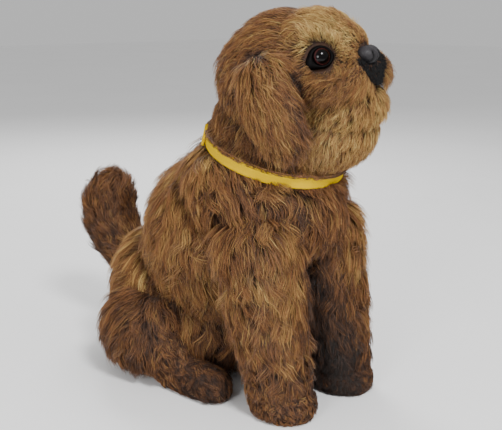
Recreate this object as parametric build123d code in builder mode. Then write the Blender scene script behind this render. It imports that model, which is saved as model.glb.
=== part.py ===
from build123d import *
from math import cos, pi, radians, sin, tan
import os

os.makedirs("parts", exist_ok=True)

# Sitting plush puppy, in millimetres. +Z is up, the body faces -Y, and the floor is Z = 0.
# Everything is drawn about the body's upright centre line, then moved by SEAT so that the origin is on
# the floor under the middle of the whole toy. Head pieces are also drawn facing straight ahead, then
# turned about the neck by HEAD_TURN.

# ---- driving dimensions ----
NECK_Y, NECK_Z, NECK_TILT = -18.8, 188.6, 18.3
HEAD_TURN = 15
NOD_HEIGHT = 22  # nod shaft above the collar's middle plane, along the neck
BALL_R = 46  # padded ball at the base of the head
SOCKET_R = 46.6
COLLAR_IN, COLLAR_OUT, COLLAR_HIGH = 49.3, 53.4, 11
WALL = 2.2
SOLE = 1.5
RUN = 0.05  # running clearance on a radius
GEAR_MODULE = 0.8
PINION_TEETH = 12
MESH_PLAY = 0.3
PINION_R = GEAR_MODULE * PINION_TEETH / 2
CELL_R, CELL_LONG, CELL_PITCH = 7.1, 50.2, 15.4

NECK = Plane(
    origin=(0, NECK_Y, NECK_Z),
    x_dir=(1, 0, 0),
    z_dir=(0, -sin(radians(NECK_TILT)), cos(radians(NECK_TILT))),
)
SEAT = Pos(0, -52.5, 0)
TURN = SEAT * NECK.location * Rot(0, 0, HEAD_TURN) * NECK.location.inverse()
TAIL_TILT = 25
TAIL = Plane(
    origin=(0, 118, 50),
    x_dir=(1, 0, 0),
    z_dir=(0, -sin(radians(TAIL_TILT)), cos(radians(TAIL_TILT))),
)
TAIL_OVER = Plane(origin=TAIL.origin, x_dir=-TAIL.x_dir, z_dir=-TAIL.z_dir)
BACK_PAD = Plane(origin=(0, 68, 115), x_dir=(1, 0, 0), z_dir=(0, 0.74, 0.67))


def across(plane, y, z, x=0):
    """Plane whose normal is the local X axis of plane, at local (x, y, z)."""
    spot = plane.from_local_coords((x, y, z))
    return Plane(origin=spot, x_dir=plane.y_dir, z_dir=plane.x_dir)


def spheroid(half_long, radius, steps=16):
    """Rugby-ball solid about the X axis, turned from short straight facets."""
    arc = [pi * i / steps for i in range(1, steps)]
    profile = [(-half_long * cos(angle), radius * sin(angle)) for angle in arc]
    profile = [(-half_long, 0)] + profile + [(half_long, 0)]
    with BuildPart() as blob:
        with BuildSketch(Plane.XY):
            with BuildLine():
                Polyline(*profile, close=True)
            make_face()
        revolve(axis=Axis.X)
    return blob.part


def stack(sections, grow=0.0):
    """Upright solid through ellipses: height, middle x, middle y, half width, half depth."""
    with BuildPart() as body:
        for z, x, y, half_w, half_d in sections:
            with BuildSketch(Plane.XY.offset(z)):
                with Locations((x, y)):
                    Ellipse(half_w + grow, half_d + grow)
        loft(ruled=True)
    return body.part


def disc(plane, radius, low, high, spot=(0, 0)):
    """Plain cylinder on a plane, between two heights."""
    with BuildPart() as rod:
        with BuildSketch(plane.offset(low)):
            with Locations(spot):
                Circle(radius)
        extrude(amount=high - low)
    return rod.part


def block(plane, x, y, z):
    """Plain box on a plane, from ranges of local x, y and z."""
    with BuildPart() as box:
        with BuildSketch(plane.offset(z[0])):
            with Locations(((x[0] + x[1]) / 2, (y[0] + y[1]) / 2)):
                Rectangle(x[1] - x[0], y[1] - y[0])
        extrude(amount=z[1] - z[0])
    return box.part


def ball(at, radius):
    """Loose sphere."""
    return Pos(*at) * Sphere(radius, mode=Mode.PRIVATE)


def peg(at, turn, radius, long):
    """Loose cylinder, turned about X, Y and Z, then placed by its middle."""
    return Pos(*at) * Rot(*turn) * Cylinder(radius, long, mode=Mode.PRIVATE)


def brick(at, size):
    """Loose box, placed by its middle."""
    return Pos(*at) * Box(*size, mode=Mode.PRIVATE)


def gear(plane, teeth, thick, bore, phase=0.0):
    """Spur gear standing on a plane, with straight-flanked, slightly thinned teeth."""
    pitch_r = GEAR_MODULE * teeth / 2
    root_r = pitch_r - 1.2 * GEAR_MODULE
    tip_r = pitch_r + 0.75 * GEAR_MODULE
    half = (pi * GEAR_MODULE / 2 - MESH_PLAY) / 2
    flank = tan(radians(20))
    root_half = half + 1.2 * GEAR_MODULE * flank
    tip_half = half - 0.75 * GEAR_MODULE * flank
    with BuildPart() as wheel:
        with BuildSketch(plane):
            Circle(root_r)
            with PolarLocations(0, teeth, start_angle=phase):
                with BuildLine():
                    Polyline(
                        (root_r - 0.4, -root_half),
                        (tip_r, -tip_half),
                        (tip_r, tip_half),
                        (root_r - 0.4, root_half),
                        close=True,
                    )
                make_face()
            Circle(bore, mode=Mode.SUBTRACT)
        extrude(amount=thick)
    return wheel.part


# ---- soft envelopes, about half way up the pile ----
TORSO = [
    (6, 0, 70, 40, 42),
    (30, 0, 70, 52, 58),
    (60, 0, 63, 56, 72),
    (95, 0, 42, 55, 76),
    (130, 0, 16, 54, 74),
    (158, 0, 2, 54, 64),
    (180, 0, -10, 51, 53),
    (208, 0, -18, 44, 42),
]
SHELL = [
    (12, 0, 66, 38, 46),
    (42, 0, 62, 38, 48),
    (80, 0, 46, 38, 48),
    (110, 0, 32, 38, 41),
    (130, 0, 16, 38, 39),
    (150, 0, 2, 37, 38),
    (172, 0, -9, 34, 33),
    (192, 0, -18, 32, 31),
]
FRONT_LEG = [
    (SOLE, 34, -58, 19.5, 25),
    (20, 34, -56, 22, 27),
    (45, 34, -52, 23.5, 25),
    (75, 35, -45, 25, 26),
    (102, 36, -39, 25, 25),
    (122, 37, -41, 16, 16),
    (142, 38, -36, 7, 8),
]
LEG_BLOB = stack(FRONT_LEG)
HAUNCH = [
    (SOLE, 60, 68, 12, 22),
    (10, 61, 71, 15.6, 26.3),
    (22, 62, 72, 20.4, 34.3),
    (36, 62, 72, 22, 37),
    (50, 62, 72, 20.4, 34.3),
    (62, 61, 72, 15.6, 26.3),
    (71, 60, 70, 7, 12),
]
FOOT = [
    (SOLE, 55, 15, 9, 29),
    (6, 55, 15, 11.5, 33),
    (14, 55, 15, 13.5, 36),
    (21, 55, 18, 11, 30),
    (27, 55, 22, 4, 15),
]
HIND_BLOB = stack(HAUNCH) + stack(FOOT)
TORSO_BLOB = stack(TORSO)
SHELL_OUT = stack(SHELL)
SHELL_IN = stack(SHELL, -WALL)
SHELL_ROOM = stack([(z, x, y, w + 0.4, d + 0.4) for z, x, y, w, d in SHELL])

SOCKET = NECK.location * Pos(0, 0, NOD_HEIGHT) * Sphere(SOCKET_R)
BALL = NECK.location * Pos(0, 0, NOD_HEIGHT) * Sphere(BALL_R)

# ---- heights along the neck axis ----
PLUSH_TOP = -6
SOCKET_FLOOR = -15.5
TABLE = (-19, -16.5)
BEARING = (-22.5, -19.5)
HUB_LOW = -31
NECK_GEAR = (-36, -31.5)
MOTOR_PLATE = (-40, -38)
HUB_R = 12
NECK_TEETH, NOD_TEETH, JAW_TEETH, TAIL_TEETH = 40, 36, 30, 30


def centres(teeth):
    """Distance between a gear's shaft and its pinion's."""
    return GEAR_MODULE * teeth / 2 + PINION_R + 0.1


NECK_REACH = centres(NECK_TEETH)
TAIL_REACH = centres(TAIL_TEETH)

# ---- body plush ----
with BuildPart() as torso_plush:
    add(TORSO_BLOB)
    split(bisect_by=NECK.offset(PLUSH_TOP), keep=Keep.BOTTOM)
    add(disc(NECK, COLLAR_IN - 0.3, PLUSH_TOP - 6, 1))
    add(SOCKET, mode=Mode.SUBTRACT)
    add(disc(NECK, 34, BEARING[0] - 3, SOCKET_FLOOR), mode=Mode.SUBTRACT)
    add(SHELL_ROOM, mode=Mode.SUBTRACT)
    add(block(Plane.XY, (-37, 37), (21, 111), (0, 14)), mode=Mode.SUBTRACT)
    add(block(TAIL, (-18.6, 18.6), (-16, 40), (-11.6, 12.6)), mode=Mode.SUBTRACT)
    add(disc(BACK_PAD, 11.8, -4, 7), mode=Mode.SUBTRACT)
    for blob in (LEG_BLOB, HIND_BLOB):
        add(blob, mode=Mode.SUBTRACT)
        add(mirror(blob, about=Plane.YZ), mode=Mode.SUBTRACT)
torso_plush.part.label = "torso_plush"
export_step(SEAT * torso_plush.part, "parts/torso_plush.step")

for side, flip in (("left", False), ("right", True)):
    for name, blob in (("front_leg", LEG_BLOB), ("hind_leg", HIND_BLOB)):
        with BuildPart() as limb:
            add(mirror(blob, about=Plane.YZ) if flip else blob)
        limb.part.label = f"{name}_{side}"
        export_step(SEAT * limb.part, f"parts/{name}_{side}.step")

with BuildPart() as paw_soles:
    with BuildSketch(Plane.XY):
        with Locations((34, -58), (-34, -58)):
            Ellipse(19, 24.5)
        with Locations((56, 24), (-56, 24)):
            Ellipse(11, 38)
    extrude(amount=SOLE)
    fillet(paw_soles.faces().group_by(Axis.Z)[0].edges(), 0.8)
paw_soles.part.label = "paw_soles"
export_step(SEAT * paw_soles.part, "parts/paw_soles.step")

# ---- collar: open band, catch over its ends, tag loop ----
CATCH_ANGLE = 135
COLLAR_MID = (COLLAR_IN + COLLAR_OUT) / 2
with BuildPart() as collar_band:
    with BuildSketch(NECK.offset(-COLLAR_HIGH / 2)):
        Circle(COLLAR_OUT)
        Circle(COLLAR_IN, mode=Mode.SUBTRACT)
        with PolarLocations(COLLAR_MID, 1, start_angle=CATCH_ANGLE):
            Rectangle(8, 1, mode=Mode.SUBTRACT)
    extrude(amount=COLLAR_HIGH)
    rims = collar_band.edges().filter_by(GeomType.CIRCLE).group_by(SortBy.RADIUS)[-1]
    fillet(rims, 1.6)
collar_band.part.label = "collar_band"
export_step(SEAT * collar_band.part, "parts/collar_band.step")

with BuildPart() as collar_catch:
    with BuildSketch(NECK.offset(-COLLAR_HIGH / 2 - 1)):
        with PolarLocations(COLLAR_OUT + 1.4, 1, start_angle=CATCH_ANGLE):
            RectangleRounded(2.4, 12, 1)
    extrude(amount=COLLAR_HIGH + 2)
collar_catch.part.label = "collar_catch"
export_step(SEAT * collar_catch.part, "parts/collar_catch.step")

TAG_HOLE = (
    NECK.location
    * Rot(0, 0, CATCH_ANGLE - 180)
    * peg((COLLAR_MID, 0, -COLLAR_HIGH / 2 - 2.4), (0, 90, 0), 1.2, 12)
)
with BuildPart() as collar_tag_loop:
    with BuildSketch(NECK.offset(-COLLAR_HIGH / 2 - 4.5)):
        with PolarLocations(COLLAR_MID, 1, start_angle=CATCH_ANGLE - 180):
            RectangleRounded(3, 8, 1.2)
    extrude(amount=4.4)
    add(TAG_HOLE, mode=Mode.SUBTRACT)
collar_tag_loop.part.label = "collar_tag_loop"
export_step(SEAT * collar_tag_loop.part, "parts/collar_tag_loop.step")

# ---- torso shell halves ----
BASE_Y = 66
SEAM_BOSSES = [(105.5, 34), (56.8, 122), (10.3, 62)]
BASE_SCREWS = [(18.5, 33), (13, 103)]
SPEAKER_Z = 98
CELL_BOX = (25, 28, 19)
TAIL_PINION = (0, -TAIL_REACH)
TAIL_CAN = 5.6
for side, keep in (("left", Keep.TOP), ("right", Keep.BOTTOM)):
    with BuildPart() as shell_half:
        add(SHELL_OUT)
        add(SHELL_IN, mode=Mode.SUBTRACT)
        for y, z in SEAM_BOSSES:
            add(peg((1, y, z), (0, 90, 0), 3.4, 20) & SHELL_OUT)
        add(block(TAIL, (-40, 40), (-30, -14), (16, 19)) & SHELL_IN)
        add(disc(TAIL, TAIL_CAN + 0.1, 9, 33, TAIL_PINION), mode=Mode.SUBTRACT)
        add((brick((0, 56, 78), (80, 6, 4)) - brick((0, 56, 78), (46, 7, 5))) & SHELL_IN)
        for x, y in BASE_SCREWS:
            add(disc(Plane.XY, 4.2, 12, 21, (x, y)) & SHELL_OUT)
            add(disc(Plane.XY, 4.2, 12, 21, (-x, y)) & SHELL_OUT)
            add(disc(Plane.XY, 1.2, 11, 20, (x, y)), mode=Mode.SUBTRACT)
            add(disc(Plane.XY, 1.2, 11, 20, (-x, y)), mode=Mode.SUBTRACT)
        for y, z in SEAM_BOSSES:
            add(peg((0, y, z), (0, 90, 0), 1.2, 19), mode=Mode.SUBTRACT)
            add(peg((10.1, y, z), (0, 90, 0), 2.4, 2.2), mode=Mode.SUBTRACT)
        add(brick((0, 53, 80), (50.4, 1.7, 40.4)), mode=Mode.SUBTRACT)
        split(bisect_by=NECK.offset(BEARING[0]), keep=Keep.BOTTOM)
        add(block(TAIL, (-18.2, 18.2), (-13.4, 20), (-11.2, 12.2)), mode=Mode.SUBTRACT)
        add(disc(BACK_PAD, 3 + RUN, -8, 8), mode=Mode.SUBTRACT)
        with BuildSketch(Plane.XZ.offset(10)):
            with Locations((0, SPEAKER_Z)):
                with PolarLocations(8, 8, start_angle=22.5):
                    Circle(1.3)
        extrude(amount=-16, mode=Mode.SUBTRACT)
        split(bisect_by=Plane.YZ, keep=keep)
    shell_half.part.label = f"torso_shell_{side}"
    export_step(SEAT * shell_half.part, f"parts/torso_shell_{side}.step")

with BuildPart() as seam_screws:
    for y, z in SEAM_BOSSES:
        add(peg((0, y, z), (0, 90, 0), 1.2, 18))
        add(peg((9.8, y, z), (0, 90, 0), 2.4, 1.6))
seam_screws.part.label = "seam_screws"
export_step(SEAT * seam_screws.part, "parts/seam_screws.step")

# ---- underside: base plate, battery box, cells, contacts, door, switch ----
DOOR_HINGE_Y, DOOR_HINGE_Z = BASE_Y - 26.2, 10.5
SWITCH_Y = 29
with BuildPart() as base_plate:
    with BuildSketch(Plane.XY.offset(9)):
        with Locations((0, BASE_Y)):
            Ellipse(35.6, 43.6)
        with Locations((0, BASE_Y - 0.4)):
            Rectangle(49, 55.8, mode=Mode.SUBTRACT)
        with Locations((0, SWITCH_Y)):
            Rectangle(9, 3.2, mode=Mode.SUBTRACT)
        with Locations((0, 98)):
            Circle(1.3, mode=Mode.SUBTRACT)
        with Locations(*[(s * x, y) for s in (1, -1) for x, y in BASE_SCREWS]):
            Circle(1.5, mode=Mode.SUBTRACT)
    extrude(amount=3)
    with BuildSketch(Plane.XY.offset(9)):
        with Locations((0, 97)):
            Rectangle(10.8, 8, mode=Mode.ADD)
    extrude(amount=1.5, mode=Mode.SUBTRACT)
    with BuildSketch(Plane.XY.offset(12)):
        with Locations((0, 98)):
            Circle(3.2)
            Circle(1.3, mode=Mode.SUBTRACT)
    extrude(amount=5)
    add(disc(Plane.XY, 1.3, 8, 18, (0, 98)), mode=Mode.SUBTRACT)
    add(peg((0, DOOR_HINGE_Y, DOOR_HINGE_Z), (0, 90, 0), 0.8 + RUN, 54), mode=Mode.SUBTRACT)
base_plate.part.label = "base_plate"
export_step(SEAT * base_plate.part, "parts/base_plate.step")

with BuildPart() as base_screws:
    with BuildSketch(Plane.XY.offset(9)):
        with Locations(*[(s * x, y) for s in (1, -1) for x, y in BASE_SCREWS]):
            Circle(1.2)
    extrude(amount=10)
    with BuildSketch(Plane.XY.offset(7.6)):
        with Locations(*[(s * x, y) for s in (1, -1) for x, y in BASE_SCREWS]):
            Circle(2.5)
    extrude(amount=1.4)
base_screws.part.label = "base_screws"
export_step(SEAT * base_screws.part, "parts/base_screws.step")

with BuildPart() as battery_box:
    with BuildSketch(Plane.XY.offset(12)):
        with Locations((0, BASE_Y)):
            RectangleRounded(2 * CELL_BOX[0], 2 * CELL_BOX[1], 4)
    extrude(amount=CELL_BOX[2])
    with BuildSketch(Plane.XY.offset(12)):
        with Locations((0, BASE_Y)):
            RectangleRounded(2 * CELL_BOX[0] - 3.2, 2 * CELL_BOX[1] - 3.2, 2.4)
    extrude(amount=CELL_BOX[2] - 1.6, mode=Mode.SUBTRACT)
battery_box.part.label = "battery_box"
export_step(SEAT * battery_box.part, "parts/battery_box.step")

with BuildPart() as battery_cells:
    for x in (-CELL_PITCH, 0, CELL_PITCH):
        end = 1 if x else -1
        add(peg((x, BASE_Y - end * 0.6, 20.6), (90, 0, 0), CELL_R, CELL_LONG - 1.2))
        add(peg((x, BASE_Y + end * (CELL_LONG / 2 - 0.6), 20.6), (90, 0, 0), 2.6, 1.2))
battery_cells.part.label = "battery_cells"
export_step(SEAT * battery_cells.part, "parts/battery_cells.step")

with BuildPart() as battery_contacts:
    for end in (-1, 1):
        for x in (-CELL_PITCH, 0, CELL_PITCH):
            add(brick((x, BASE_Y + end * 25.75, 20.6), (11, 0.9, 11)))
battery_contacts.part.label = "battery_contacts"
export_step(SEAT * battery_contacts.part, "parts/battery_contacts.step")

with BuildPart() as battery_door:
    with BuildSketch(Plane.XY.offset(9)):
        with Locations((0, DOOR_HINGE_Y)):
            Rectangle(48.2, 53.2, align=(Align.CENTER, Align.MIN))
    extrude(amount=2)
    with BuildSketch(Plane.XY.offset(9)):
        with Locations((0, 96.8)):
            Rectangle(10, 7.6)
    extrude(amount=1.3)
    with BuildSketch(Plane.YZ.offset(-24.1)):
        with Locations((DOOR_HINGE_Y, DOOR_HINGE_Z)):
            Circle(1.2)
    extrude(amount=48.2)
    with BuildSketch(Plane.YZ.offset(-26.4)):
        with Locations((DOOR_HINGE_Y, DOOR_HINGE_Z)):
            Circle(0.8)
    extrude(amount=52.8)
    add(disc(Plane.XY, 1.25, 8, 12, (0, 98)), mode=Mode.SUBTRACT)
battery_door.part.label = "battery_door"
export_step(SEAT * battery_door.part, "parts/battery_door.step")

with BuildPart() as door_screw:
    add(disc(Plane.XY, 1.25, 9, 15, (0, 98)))
    add(disc(Plane.XY, 2.6, 7.6, 9, (0, 98)))
door_screw.part.label = "door_screw"
export_step(SEAT * door_screw.part, "parts/door_screw.step")

with BuildPart() as switch_housing:
    add(brick((0, SWITCH_Y, 15), (16, 7, 6)))
    add(brick((0, SWITCH_Y, 15.4), (12.4, 5, 4)), mode=Mode.SUBTRACT)
    add(brick((0, SWITCH_Y, 12.5), (9, 3.2, 2)), mode=Mode.SUBTRACT)
switch_housing.part.label = "switch_housing"
export_step(SEAT * switch_housing.part, "parts/switch_housing.step")

with BuildPart() as switch_slider:
    add(brick((-2, SWITCH_Y, 15.4), (7.4, 4.6, 3.6)))
    add(brick((-2, SWITCH_Y, 10.9), (3, 2.6, 5.6)))
switch_slider.part.label = "switch_slider"
export_step(SEAT * switch_slider.part, "parts/switch_slider.step")

# ---- board, speaker ----
with BuildPart() as circuit_board:
    add(brick((0, 53, 80), (50, 1.6, 40)))
circuit_board.part.label = "circuit_board"
export_step(SEAT * circuit_board.part, "parts/circuit_board.step")

with BuildPart() as speaker:
    with BuildSketch(Plane.XZ.offset(-7)):
        with Locations((0, SPEAKER_Z)):
            Circle(14)
    extrude(amount=-2)
    with BuildSketch(Plane.XZ.offset(-9)):
        with Locations((0, SPEAKER_Z)):
            Circle(12)
    extrude(amount=-5, taper=20)
    with BuildSketch(Plane.XZ.offset(-14)):
        with Locations((0, SPEAKER_Z)):
            Circle(7)
    extrude(amount=-6)
speaker.part.label = "speaker"
export_step(SEAT * speaker.part, "parts/speaker.step")

# ---- back touch button ----
with BuildPart() as back_button:
    add(disc(BACK_PAD, 11, 3.4, 6))
    add(disc(BACK_PAD, 3, -6, 3.4))
    fillet(back_button.edges().filter_by(GeomType.CIRCLE).group_by(SortBy.RADIUS)[-1], 1)
back_button.part.label = "back_button"
export_step(SEAT * back_button.part, "parts/back_button.step")

# ---- neck drive ----
with BuildPart() as neck_bearing:
    add(disc(NECK, 31, *BEARING))
    add(disc(NECK, HUB_R + 3.5, HUB_LOW + 0.5, BEARING[0]))
    add(disc(NECK, HUB_R + RUN, HUB_LOW, BEARING[1] + 1), mode=Mode.SUBTRACT)
neck_bearing.part.label = "neck_bearing"
export_step(SEAT * neck_bearing.part, "parts/neck_bearing.step")

PLATE_LEGS = [(19.8 * cos(radians(a)), 19.8 * sin(radians(a))) for a in (10, 170, 270)]
with BuildPart() as neck_motor_plate:
    add(disc(NECK, 22.5, *MOTOR_PLATE))
    for spot in PLATE_LEGS:
        add(disc(NECK, 2, MOTOR_PLATE[1], BEARING[0], spot))
    add(disc(NECK, 4, MOTOR_PLATE[0] - 1, MOTOR_PLATE[1] + 1, (0, NECK_REACH)), mode=Mode.SUBTRACT)
    add(disc(NECK, 9, MOTOR_PLATE[0] - 1, MOTOR_PLATE[1] + 1), mode=Mode.SUBTRACT)
neck_motor_plate.part.label = "neck_motor_plate"
export_step(SEAT * neck_motor_plate.part, "parts/neck_motor_plate.step")


def motor(plane, low, high, radius, spot):
    """Small can motor with its shaft end at high, bored for the rotor shaft."""
    with BuildPart() as can:
        add(disc(plane, radius, low, high, spot))
        fillet(can.edges().filter_by(GeomType.CIRCLE), 0.8)
        add(disc(plane, 3, low - 1, low, spot))
        add(disc(plane, 1 + RUN, high - 8, high + 1, spot), mode=Mode.SUBTRACT)
    return can.part


def rotor(plane, start, gear_low, thick, spot, phase=0.0):
    """Pinion on its motor shaft; start is the shaft's lower end inside the can."""
    wheel_plane = Plane(
        origin=plane.from_local_coords((spot[0], spot[1], gear_low)),
        x_dir=plane.x_dir,
        z_dir=plane.z_dir,
    )
    with BuildPart() as turning:
        add(gear(wheel_plane, PINION_TEETH, thick, 0.9, phase))
        add(disc(plane, 1, start, gear_low + thick + 0.4, spot))
    return turning.part


with BuildPart() as neck_motor:
    add(motor(NECK, -62, MOTOR_PLATE[0], 8, (0, NECK_REACH)))
neck_motor.part.label = "neck_motor"
export_step(SEAT * neck_motor.part, "parts/neck_motor.step")

# The neck gear has a gap on the line towards its pinion, and the pinion a tooth, so they mesh.
with BuildPart() as neck_pinion:
    add(rotor(NECK, MOTOR_PLATE[0] - 6, NECK_GEAR[0], 4.5, (0, NECK_REACH), phase=270))
neck_pinion.part.label = "neck_pinion"
export_step(SEAT * neck_pinion.part, "parts/neck_pinion.step")

with BuildPart() as neck_gear:
    add(gear(NECK.offset(NECK_GEAR[0]), NECK_TEETH, NECK_GEAR[1] - NECK_GEAR[0], 7, 90 + 180 / NECK_TEETH))
neck_gear.part.label = "neck_gear"
export_step(SEAT * neck_gear.part, "parts/neck_gear.step")

NOD = across(NECK, 0, NOD_HEIGHT)
NOD_REACH = centres(NOD_TEETH)
NOD_MOTOR_DOWN = 9.5
NOD_MOTOR_BACK = (NOD_REACH**2 - NOD_MOTOR_DOWN**2) ** 0.5
NOD_SPOT = (NOD_MOTOR_BACK, -NOD_MOTOR_DOWN)
with BuildPart() as neck_turntable:
    add(disc(NECK, 29, *TABLE))
    add(disc(NECK, HUB_R, HUB_LOW, TABLE[0]))
    add(disc(NECK, 7, NECK_GEAR[0], HUB_LOW))
    add(disc(NECK, 8, TABLE[1], 10))
    add(block(NECK, (-7, 7), (-7, 7), (8, NOD_HEIGHT + 7)))
    add(block(NECK, (-7, 7), (6, 21), (TABLE[1], -10)))
    add(block(NECK, (-4, 4), (5, 21), (-12, 4.4)))
    add(disc(NOD, 7.5, -20, 20, NOD_SPOT), mode=Mode.SUBTRACT)
    add(disc(NOD, 2 + RUN, -20, 20), mode=Mode.SUBTRACT)
neck_turntable.part.label = "neck_turntable"
export_step(TURN * neck_turntable.part, "parts/neck_turntable.step")

with BuildPart() as nod_motor:
    add(motor(NOD, -14, 9, 7.5, NOD_SPOT))
nod_motor.part.label = "nod_motor"
export_step(TURN * nod_motor.part, "parts/nod_motor.step")

# Angle on the nod plane from the nod shaft to its pinion.
NOD_LINE = Vector(*NOD_SPOT, 0).get_signed_angle(Vector(1, 0, 0), Vector(0, 0, -1))
with BuildPart() as nod_pinion:
    add(rotor(NOD, 3, 12, 3.5, NOD_SPOT, phase=NOD_LINE + 180))
nod_pinion.part.label = "nod_pinion"
export_step(TURN * nod_pinion.part, "parts/nod_pinion.step")

# ---- head: hard pieces ----
SKULL_R, SKULL_LOW, SKULL_SIDE, SKULL_TOP = 33, 2, 46, 79


def dome(radius, low, top, steps=12):
    """Upright cup: a cylinder closed by a faceted half ellipse, about the neck axis."""
    side = across(NECK, 0, 0)
    arc = [pi / 2 * i / steps for i in range(steps)]
    crown = [(radius * cos(angle), SKULL_SIDE + (top - SKULL_SIDE) * sin(angle)) for angle in arc]
    profile = [(0, low), (radius, low)] + crown + [(0, top)]
    with BuildPart() as cup:
        with BuildSketch(side):
            with BuildLine():
                Polyline(*profile, close=True)
            make_face()
        revolve(axis=Axis(NECK.origin, NECK.z_dir))
    return cup.part


SKULL_SOLID = dome(SKULL_R, SKULL_LOW, SKULL_TOP)
SKULL_HOLLOW = dome(SKULL_R - WALL, SKULL_LOW - 1, SKULL_TOP - WALL)
SKULL_ROOM = dome(SKULL_R + 0.4, SKULL_LOW - 1, SKULL_TOP + 0.4)
JAW_Y, JAW_Z = -9.4, 55.1
JAW = across(NECK, JAW_Y, JAW_Z)
JAW_SPOT = (centres(JAW_TEETH), 0)
LEVER_DROP = 52
JAW_SLOT = (
    block(NECK, (-8, 8), (-50, -20), (6, 64))
    & disc(JAW, 50, -8, 8)
)
with BuildPart() as skull_front:
    add(SKULL_SOLID)
    add(SKULL_HOLLOW, mode=Mode.SUBTRACT)
    for x in (-14.6, 12.6):
        add(block(NECK, (x, x + 2), (-30, JAW_Y + 4), (JAW_Z - 5, JAW_Z + 5)) & SKULL_SOLID)
    add(JAW_SLOT, mode=Mode.SUBTRACT)
    add(disc(JAW, 1.5, -20, 20), mode=Mode.SUBTRACT)
    add(disc(NECK, 3 + RUN, 60, 90), mode=Mode.SUBTRACT)
    split(bisect_by=Plane(NECK.origin, x_dir=NECK.x_dir, z_dir=NECK.y_dir), keep=Keep.BOTTOM)
    add(disc(NOD, 2, -32.5, 32.5), mode=Mode.SUBTRACT)
skull_front.part.label = "skull_front"
export_step(TURN * skull_front.part, "parts/skull_front.step")

with BuildPart() as skull_back:
    add(SKULL_SOLID)
    add(SKULL_HOLLOW, mode=Mode.SUBTRACT)
    jaw_rib = block(NECK, (-8, -5), (8, 40), (JAW_Z - 9, JAW_Z + 9)) - disc(JAW, 7, -20, 20, JAW_SPOT)
    add(jaw_rib & SKULL_SOLID)
    add(disc(NECK, 3 + RUN, 60, 90), mode=Mode.SUBTRACT)
    split(bisect_by=Plane(NECK.origin, x_dir=NECK.x_dir, z_dir=NECK.y_dir), keep=Keep.TOP)
    add(disc(NOD, 2, -32.5, 32.5), mode=Mode.SUBTRACT)
skull_back.part.label = "skull_back"
export_step(TURN * skull_back.part, "parts/skull_back.step")

with BuildPart() as nod_shaft:
    add(disc(NOD, 2, -32.3, 32.3))
nod_shaft.part.label = "nod_shaft"
export_step(TURN * nod_shaft.part, "parts/nod_shaft.step")

with BuildPart() as nod_gear:
    add(gear(NOD.offset(12), NOD_TEETH, 3, 2, NOD_LINE + 180 / NOD_TEETH))
nod_gear.part.label = "nod_gear"
export_step(TURN * nod_gear.part, "parts/nod_gear.step")

with BuildPart() as jaw_pin:
    add(disc(JAW, 1.5, -15.5, 15.5))
jaw_pin.part.label = "jaw_pin"
export_step(TURN * jaw_pin.part, "parts/jaw_pin.step")

with BuildPart() as jaw_motor:
    add(motor(JAW, -15, 6, 7, JAW_SPOT))
jaw_motor.part.label = "jaw_motor"
export_step(TURN * jaw_motor.part, "parts/jaw_motor.step")

with BuildPart() as jaw_pinion:
    add(rotor(JAW, 0, 8.5, 3, JAW_SPOT, phase=180))
jaw_pinion.part.label = "jaw_pinion"
export_step(TURN * jaw_pinion.part, "parts/jaw_pinion.step")

with BuildPart() as jaw_gear:
    add(gear(JAW.offset(8.5), JAW_TEETH, 3, 4, 180 / JAW_TEETH))
jaw_gear.part.label = "jaw_gear"
export_step(TURN * jaw_gear.part, "parts/jaw_gear.step")

LEVER = Plane(
    origin=JAW.origin,
    x_dir=(0, -cos(radians(LEVER_DROP)), -sin(radians(LEVER_DROP))),
    z_dir=NECK.x_dir,
)
with BuildPart() as jaw_lever:
    add(disc(LEVER, 5, -7, 7))
    add(block(LEVER, (0, 44), (-2.5, 2.5), (-7, 7)))
    add(disc(LEVER, 4, 7, 11.5))
    add(disc(LEVER, 1.5 + RUN, -10, 13), mode=Mode.SUBTRACT)
jaw_lever.part.label = "jaw_lever"
export_step(TURN * jaw_lever.part, "parts/jaw_lever.step")

with BuildPart() as head_button:
    add(disc(NECK, 9, SKULL_TOP + 1.8, SKULL_TOP + 4))
    add(disc(NECK, 3, SKULL_TOP - 6, SKULL_TOP + 1.8))
    fillet(head_button.edges().filter_by(GeomType.CIRCLE).group_by(SortBy.RADIUS)[-1], 0.8)
head_button.part.label = "head_button"
export_step(TURN * head_button.part, "parts/head_button.step")

# ---- head plush, drawn straight ahead in world coordinates ----
SKULL_AT, FACE_AT, MUZZLE_AT, BEARD_AT = (0, -34, 240), (0, -58, 251), (0, -66, 246), (0, -63, 215)
EYE_AT = (26, -70, 262)
NOSE_AT = (0, -94, 261)
EYE_R = 7.2
HEAD_MASS = [
    Pos(*SKULL_AT) * spheroid(47.5, 44),
    Pos(*FACE_AT) * spheroid(34, 28),
    Pos(*MUZZLE_AT) * spheroid(36, 32),
]
NOSE_ROOM = Pos(*NOSE_AT) * spheroid(10.3, 7.8, 28)
BEARD_MASS = Pos(*BEARD_AT) * spheroid(34, 27)
JAW_WORLD_Y, JAW_WORLD_Z = JAW.origin.Y, JAW.origin.Z


def wedge(start, end, reach):
    """Slice about the jaw pin; angles run from straight ahead downwards."""
    steps = 6
    points = [(JAW_WORLD_Y, JAW_WORLD_Z)]
    for i in range(steps + 1):
        angle = radians(start + (end - start) * i / steps)
        points.append((JAW_WORLD_Y - reach * cos(angle), JAW_WORLD_Z - reach * sin(angle)))
    with BuildPart() as slice_of:
        with BuildSketch(Plane.YZ.offset(-60)):
            with BuildLine():
                Polyline(*points, close=True)
            make_face()
        extrude(amount=120)
    return slice_of.part


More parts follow.
